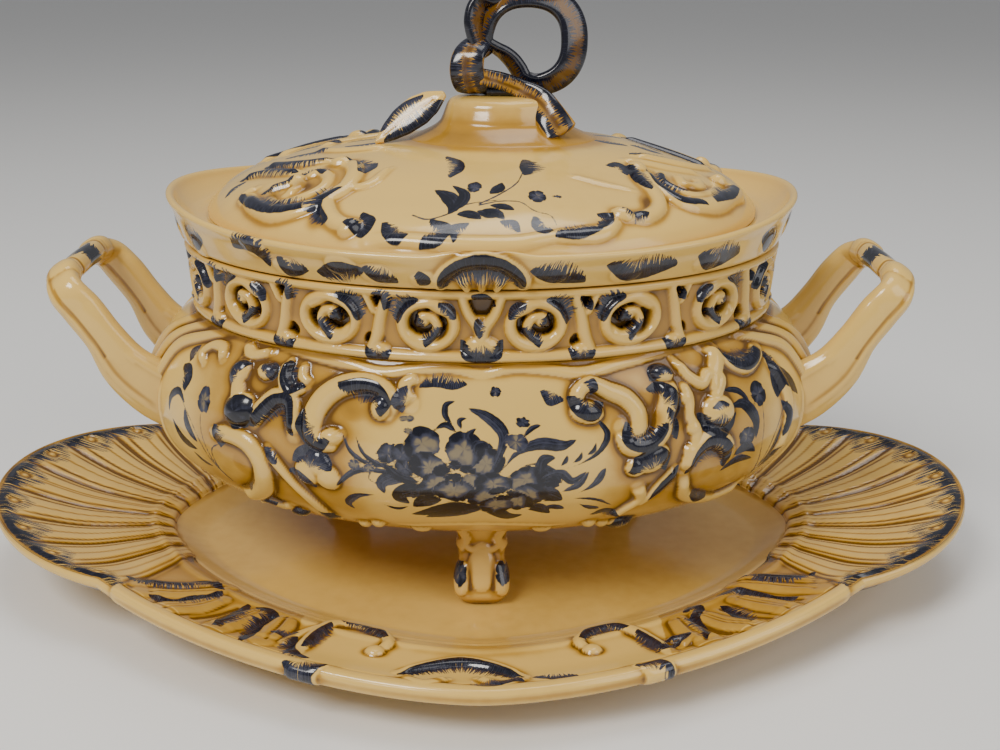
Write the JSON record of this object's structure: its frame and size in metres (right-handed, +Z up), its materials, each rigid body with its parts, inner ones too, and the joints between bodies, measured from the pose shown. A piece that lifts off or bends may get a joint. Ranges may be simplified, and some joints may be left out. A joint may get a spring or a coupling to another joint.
{
  "type": "soup tureen",
  "caption": "Footed oval soup tureen with a pierced gallery, looped handles and a lid with a ribbon bow, standing on an oval dish with fan-shaped ends.",
  "frame": {"origin": "centre of the stand's underside, on the surface it stands on", "axes": "+X along the tureen's length through both handles, +Z up; the painted front faces -Y"},
  "size_m": [0.472, 0.332, 0.2742],
  "materials": {
    "cream_glaze": "glossy cream glaze with amber in the hollows and hand-painted blue",
    "amber_glaze": "glossy cream scrollwork over a brown-glazed ground",
    "blue_glaze": "glossy cream ribbon with blue-painted edges"
  },
  "bodies": {
    "stand": {"stand": "cream_glaze"},
    "tureen": {"bowl": "cream_glaze", "gallery": "amber_glaze", "foot_front": "cream_glaze", "foot_back_left": "cream_glaze", "foot_back_right": "cream_glaze", "handle_left": "cream_glaze", "handle_right": "cream_glaze"},
    "lid": {"lid": "cream_glaze", "ribbon_bow": "blue_glaze", "ribbon_leaf": "blue_glaze"}
  },
  "joints": [
    {"name": "tureen_lift", "type": "slide", "parent": "stand", "child": "tureen", "axis": [0, 0, 1], "range_m": [0, 0.15]},
    {"name": "lid_lift", "type": "slide", "parent": "tureen", "child": "lid", "axis": [0, 0, 1], "range_m": [0, 0.12]}
  ]
}
